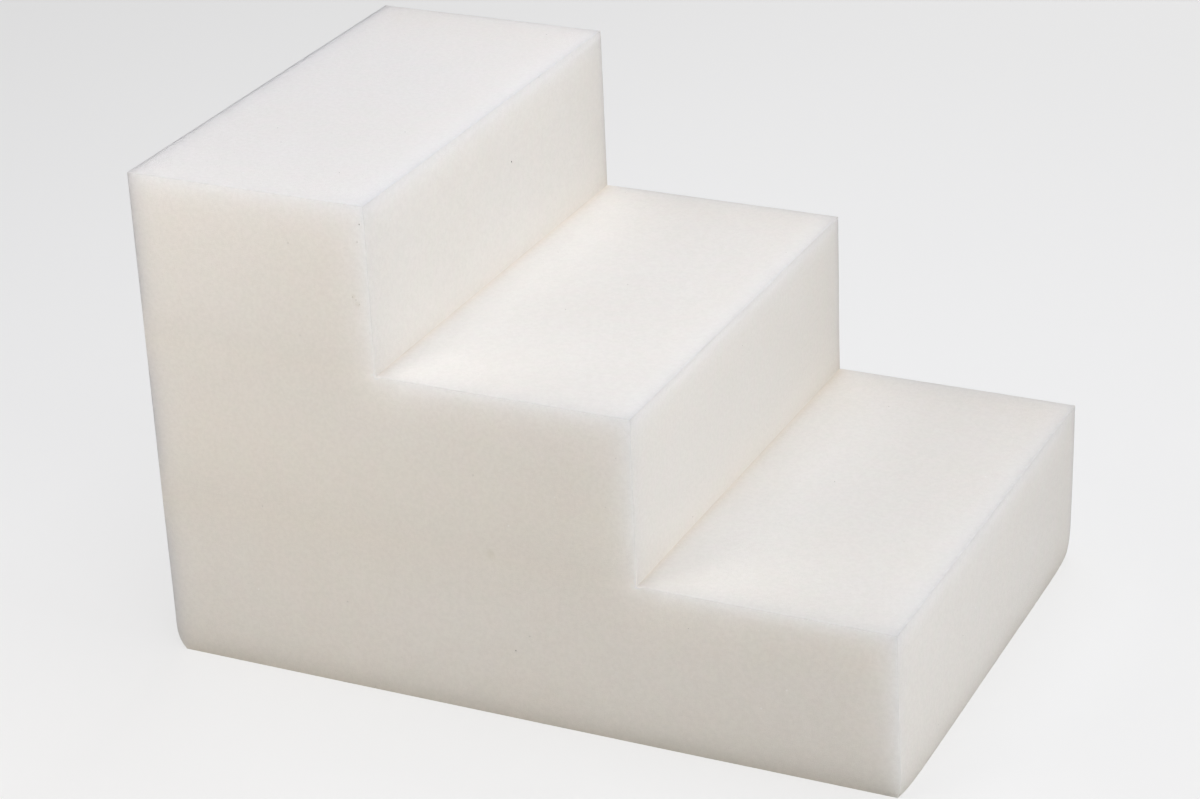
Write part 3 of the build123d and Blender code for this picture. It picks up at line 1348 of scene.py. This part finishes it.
@dataclass
class GlueLine:
    """The adhesive between two slabs: its film, and the bead squeezed out in the inner corner.

    Attributes:
        name: The piece's name.
        node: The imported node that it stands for.
        crease_x: X of the inner corner.
        joint_z: Z of the joint.
        back_x: X of the film's back edge.
        half_length: Half the bead's length.
        bead_radius: The bead's usual radius.
        unevenness: How much the radius varies, as a share of it.
        lump_length: Over what length it varies.
        taper: Over what length it thins out at each end.
        tip: How thick it still is at its very end, as a share.
        steps: Rings along the bead.
        sides: Corners of a ring.
        weld: How near two of its points are when they are made one.
        film: The film's thickness.
        rule: How the film's grid lines are spaced.
        sharp_angle: The least angle of an edge that is shaded sharp, in degrees.
        piece: The object, once it is built.
    """

    name: str
    node: str
    crease_x: float
    joint_z: float
    back_x: float
    half_length: float
    bead_radius: float = 0.5 * MM
    unevenness: float = 0.35
    lump_length: float = 14 * MM
    taper: float = 12 * MM
    tip: float = 0.1
    steps: int = 260
    sides: int = 20
    weld: float = 0.004 * MM
    film: float = 0.28 * MM
    rule: GridRule = GridRule((2 * MM, 5 * MM), 20 * MM)
    sharp_angle: float = 50.0
    piece: bpy.types.Object | None = None

    @classmethod
    def from_frame(cls, name: str, node: str, stack: Stack, rank: int) -> "GlueLine":
        """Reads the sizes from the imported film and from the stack, by the joint's rank from the lowest."""
        low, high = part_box(node)
        return cls(name, node, stack.fronts[rank + 1], stack.tops[rank], low.x, high.y)

    def _sizes(self) -> dict[str, float | int]:
        """Gathers the numbers that the bead's tree takes.

        Returns:
            The numbers by the names of the tree's inputs.
        """
        return {
            "Radius": self.bead_radius,
            "Unevenness": self.unevenness,
            "Lump length": self.lump_length,
            "Taper": self.taper,
            "Tip": self.tip,
            "Weld": self.weld,
            "Steps": self.steps,
            "Sides": self.sides,
        }

    def tree(self) -> Tree:
        """Builds the geometry tree that runs the bead along the inner corner.

        Returns:
            The tree.
        """
        shapes = {"Film": "Geometry", "Start": "Vector", "End": "Vector"}
        inputs = {**shapes, **self._sizes(), "Adhesive": "Material"}
        wire, given = new_tree("squeezed_bead", "GeometryNodeTree", inputs, {"Geometry": "Geometry"})
        line = wire.node("GeometryNodeCurvePrimitiveLine", Start=given["Start"], End=given["End"]).outputs[0]
        path = wire.node("GeometryNodeResampleCurve", Curve=line, Count=given["Steps"]).outputs[0]
        corners, radius = given["Sides"], given["Radius"]
        ring = wire.node("GeometryNodeCurvePrimitiveCircle", Resolution=corners, Radius=radius).outputs[0]
        tube = wire.node("GeometryNodeCurveToMesh", Curve=path, Profile_Curve=ring, Fill_Caps=True)
        place = wire.node("GeometryNodeInputPosition").outputs[0]
        along = wire.node("ShaderNodeSeparateXYZ", Vector=place).outputs["Y"]
        axis = wire.node("ShaderNodeSeparateXYZ", Vector=given["Start"]).outputs
        spot = wire.node("ShaderNodeCombineXYZ", X=axis["X"], Y=along, Z=axis["Z"]).outputs[0]
        arm = wire.vector("SUBTRACT", place, spot)
        play = wire.math("MULTIPLY", given["Unevenness"], 2.0)
        swing = wire.math("MULTIPLY", wire.swing(spot, given["Lump length"], 2.0), play)
        left = wire.math("SUBTRACT", wire.math("ABSOLUTE", axis["Y"]), wire.math("ABSOLUTE", along))
        taper = wire.ramp(left, 0.0, given["Taper"], given["Tip"], 1.0)
        grown = wire.vector("SCALE", arm, scale=wire.math("MULTIPLY", wire.math("ADD", swing, 1.0), taper))
        seated = wire.vector("ADD", spot, wire.vector("MAXIMUM", grown, (0.0, 0.0, 0.0)))
        put = wire.node("GeometryNodeSetPosition", Geometry=tube.outputs[0], Position=seated).outputs[0]
        clean = wire.node("GeometryNodeMergeByDistance", Geometry=put, Distance=given["Weld"]).outputs[0]
        both = wire.node("GeometryNodeJoinGeometry")
        for part in (given["Film"], clean):
            wire.feed(both.inputs[0], part)
        whole = wire.node("GeometryNodeRealizeInstances", Geometry=both.outputs[0]).outputs[0]
        last = wire.node("GeometryNodeSetMaterial", Geometry=whole, Material=given["Adhesive"])
        wire.node("NodeGroupOutput", Geometry=last.outputs[0])
        return wire.tree

    def build(self, tree: Tree, adhesive: bpy.types.Material) -> None:
        """Makes the film and its bead.

        Args:
            tree: The bead's geometry tree.
            adhesive: The finish.
        """
        deep = self.rule.lines([self.back_x, self.crease_x])
        across = self.rule.lines([-self.half_length, self.half_length])
        high = np.array([self.joint_z, self.joint_z + self.film])
        self.piece = new_object(self.name, quad_mesh(self.name, *box_grid(deep, across, high), adhesive))
        start, end = (Vector((self.crease_x, side * self.half_length, self.joint_z)) for side in (-1, 1))
        apply_tree(self.piece, tree, {"Start": start, "End": end, **self._sizes(), "Adhesive": adhesive})
        smooth_between(self.piece.data, self.sharp_angle)

    def dress(self) -> None:
        """Hides the imported node that the piece stands for, and hangs the piece on the root body."""
        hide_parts(self.node)
        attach(self.piece, BODY)


@dataclass(frozen=True)
class Softbox:
    """One square studio softbox, pointed at the middle of the stairs.

    Attributes:
        name: Its name.
        azimuth: Degrees round from straight in front of the near side.
        elevation: Degrees above the floor.
        distance: How far it stands from the middle of the stairs.
        side: The length of its side.
        power: Watts.
        colour: Its colour.
        middle: Where it points.
    """

    name: str
    azimuth: float
    elevation: float
    distance: float
    side: float
    power: float
    colour: Colour
    middle: Point = (0.0, 0.0, 0.18)

    def make(self) -> None:
        """Makes the light."""
        lamp = bpy.data.lights.new(self.name, "AREA")
        lamp.shape = "SQUARE"
        lamp.size = self.side
        lamp.energy = self.power
        lamp.color = self.colour
        made = bpy.data.objects.new(self.name, lamp)
        back = away_from(self.azimuth, self.elevation)
        turn = (-back).to_track_quat("-Z", "Y").to_matrix().to_4x4()
        made.matrix_world = Matrix.Translation(Vector(self.middle) + self.distance * back) @ turn
        bpy.context.scene.collection.objects.link(made)


SOFTBOXES = (
    Softbox("front_right_softbox", 45, 25, 2.6, 1.3, 19.1, (1.0, 0.994, 0.984)),
    Softbox("right_low_softbox", 90, 8, 2.6, 1.3, 15.6, (1.0, 0.992, 0.993)),
    Softbox("right_overhead_softbox", 90, 62, 1.45, 0.8, 4.2, (0.962, 0.968, 1.0)),
    Softbox("front_left_softbox", 330, 30, 1.1, 0.6, 3.85, (1.0, 0.936, 0.861)),
    Softbox("rear_overhead_softbox", 180, 62, 1.45, 0.8, 7.5, (0.966, 0.965, 1.0)),
    Softbox("rear_low_softbox", 180, 8, 2.6, 1.3, 10.7, (1.0, 0.993, 0.988)),
    Softbox("left_softbox", 270, 40, 1.45, 0.8, 1.65, (0.734, 0.797, 1.0)),
    Softbox("overhead_softbox", 0, 89.9, 1.45, 0.8, 2.15, (0.748, 0.828, 1.0)),
)


@dataclass(frozen=True)
class Studio:
    """The pale floor, the surroundings and the lights.

    Attributes:
        floor_half: Half the floor's side.
        floor_colour: The paper floor's colour.
        floor_shade: What its darker patches multiply that colour by.
        floor_patch: The size of those patches.
        floor_seen: The paper's colour as the camera sees it, with its glow apart.
        floor_glow: How much the lit paper adds to what the camera sees of it.
        floor_roughness: The paper's roughness.
        floor_gloss: The paper's specular level.
        sky_colour: The surroundings' colour.
        sky_strength: How much light the surroundings give.
        backdrop: How bright the surroundings look to the camera.
        bounces: How often light bounces between pale faces.
        lights: The lights.
    """

    floor_half: float = 12.0
    floor_colour: Colour = (0.8, 0.8, 0.8)
    floor_shade: float = 0.99
    floor_patch: float = 0.6
    floor_seen: Colour = (0.26, 0.26, 0.26)
    floor_glow: float = 0.66
    floor_roughness: float = 0.95
    floor_gloss: float = 0.1
    sky_colour: Colour = (1.0, 0.859, 0.747)
    sky_strength: float = 0.0305
    backdrop: float = 0.8
    bounces: int = 8
    lights: tuple[Softbox, ...] = SOFTBOXES

    def make(self, kit: ShaderKit) -> None:
        """Makes the floor, the surroundings and the lights.

        Args:
            kit: The shared shader groups.
        """
        self._make_floor(kit)
        self._make_sky()
        for light in self.lights:
            light.make()
        scene = bpy.context.scene
        scene.view_settings.view_transform = "Standard"
        scene.cycles.diffuse_bounces = self.bounces
        scene.cycles.max_bounces = 2 * self.bounces

    def _make_floor(self, kit: ShaderKit) -> None:
        """Lays a pale sheet of paper, lit a little from below for the camera.

        Args:
            kit: The shared shader groups.
        """
        made, wire, shader = new_material("paper_floor")
        place = wire.node("ShaderNodeTexCoord").outputs["Object"]
        patch = self.floor_patch
        tint = wire.node("ShaderNodeGroup", {"node_tree": kit.tint}, Place=place, Broad_size=patch)
        shade = tuple(self.floor_shade * v for v in self.floor_colour)
        paper = wire.tint(tint.outputs["Broad"], self.floor_colour, shade)
        seen = wire.node("ShaderNodeLightPath").outputs["Is Camera Ray"]
        wire.fill(
            shader, Base_Color=wire.tint(seen, paper, self.floor_seen), Emission_Color=(1.0, 1.0, 1.0, 1.0),
            Emission_Strength=wire.math("MULTIPLY", seen, self.floor_glow), Roughness=self.floor_roughness,
            Specular_IOR_Level=self.floor_gloss,
        )
        reach = self.floor_half
        corners = np.array([(-reach, -reach, 0), (reach, -reach, 0), (reach, reach, 0), (-reach, reach, 0)])
        sheet = quad_mesh("studio_floor", corners, np.array([(0, 1, 2, 3)]), made)
        new_object("studio_floor", sheet)

    def _make_sky(self) -> None:
        """Surrounds the scene with weak warm light and a pale backdrop."""
        world = bpy.data.worlds.new("studio")
        world.use_nodes = True
        wire = Wiring(world.node_tree)
        seen = wire.node("ShaderNodeLightPath").outputs["Is Camera Ray"]
        paper = (self.backdrop, self.backdrop, self.backdrop)
        dim = tuple(self.sky_strength * v for v in self.sky_colour)
        wire.fill(world.node_tree.nodes["Background"], Color=wire.tint(seen, dim, paper), Strength=1.0)
        bpy.context.scene.world = world


@dataclass(frozen=True)
class Spot:
    """A burst cell or a stain that the photograph shows.

    Attributes:
        pixel: Where the photograph shows its middle.
        radius: Its radius.
    """

    pixel: Pixel
    radius: float


BURST_CELLS = {
    "upper_riser": Spot((511.5, 161.8), 0.8 * MM),
    "side_low": Spot((515.5, 651.0), 0.8 * MM),
    "side_top_corner": Spot((359.2, 224.5), 0.5 * MM),
    "below_top_corner": Spot((357.0, 242.0), 0.35 * MM),
    "side_high": Spot((288.0, 243.0), 0.4 * MM),
    "top_tread_front": Spot((405.0, 132.0), 0.4 * MM),
    "top_tread_back": Spot((281.0, 142.0), 0.35 * MM),
    "top_nose": Spot((539.0, 77.0), 0.35 * MM),
    "side_middle": Spot((473.0, 475.0), 0.35 * MM),
    "smudge_high": Spot((352.5, 297.0), 0.3 * MM),
    "smudge_middle": Spot((356.0, 300.0), 0.3 * MM),
    "smudge_low": Spot((359.5, 304.5), 0.25 * MM),
}

STAINS = {
    "side_middle": Spot((491.0, 554.0), 6 * MM),
    "smudge_high": Spot((353.5, 296.5), 2.6 * MM),
    "smudge_low": Spot((358.0, 304.5), 3.4 * MM),
}


def marked_points(stack: Stack, camera: PhotoCamera, cells: Sequence[Spot]) -> bpy.types.Object:
    """Puts a point on the stack for each marked cell.

    Args:
        stack: The form that the slabs share.
        camera: The photograph's camera.
        cells: The marked cells.

    Returns:
        An object that holds the points, each with its cell's radius.
    """
    mesh = bpy.data.meshes.new("marked_cells")
    mesh.from_pydata([stack.seen_at(camera, cell.pixel) for cell in cells], [], [])
    set_marks(mesh, Mark.CELL_RADIUS, np.array([cell.radius for cell in cells]))
    return new_object("marked_cells", mesh)


def report(piece: bpy.types.Object) -> None:
    """Logs a finished piece and the size of its mesh."""
    log.info("%s: %d vertices, %d faces", piece.name, len(piece.data.vertices), len(piece.data.polygons))


def main() -> None:
    """Builds the studio, the slabs and the glue lines in order."""
    logging.basicConfig(level=logging.INFO, format="%(name)s: %(message)s")
    camera = PhotoCamera()
    camera.make()
    kit = ShaderKit()
    Studio().make(kit)
    ranks = ("bottom", "middle", "top")
    stack = Stack.from_frame([f"{rank}_slab" for rank in ranks])
    stains = tuple((stack.seen_at(camera, spot.pixel), spot.radius) for spot in STAINS.values())
    # The burst cells' dark colour is shade painted into their pits.
    burst = (0.36, 0.34, 0.31)
    glued, glued_warm = (0.84, 0.8, 0.72), (0.82, 0.77, 0.68)
    finishes = {
        "Foam": FoamFinish("sawn_foam", stains=stains).make(kit),
        "Burst cell": FoamFinish("burst_foam", colour=burst, warm=burst).make(kit),
        "Glued face": FoamFinish("glued_foam", colour=glued, warm=glued_warm, scatters=False).make(kit),
    }
    saw = SawnSurface()
    surface = saw.tree()
    marked = marked_points(stack, camera, list(BURST_CELLS.values()))
    floors = [0.0, *stack.tops[:-1]]
    next_fronts = [*stack.fronts[1:], None]
    for number, rank in enumerate(ranks):
        slab = FoamSlab(
            name=f"{rank}_foam_slab",
            node=f"{rank}_slab",
            low=Vector((stack.back, -stack.half_width, floors[number])),
            high=Vector((stack.fronts[number], stack.half_width, stack.tops[number])),
            glued_below=number > 0,
            glued_above=next_fronts[number],
        )
        slab.build(stack, surface, marked, saw.seed + number, finishes)
        slab.dress()
        report(slab.piece)
    adhesive = AdhesiveFinish().make(kit)
    lines = [
        GlueLine.from_frame(f"{rank}_glue_line", f"{rank}_adhesive_film", stack, number)
        for number, rank in enumerate(("lower", "upper"))
    ]
    bead_tree = lines[0].tree()
    for line in lines:
        line.build(bead_tree, adhesive)
        line.dress()
        report(line.piece)
    bpy.data.objects.remove(marked)


if __name__ == "__main__":
    main()
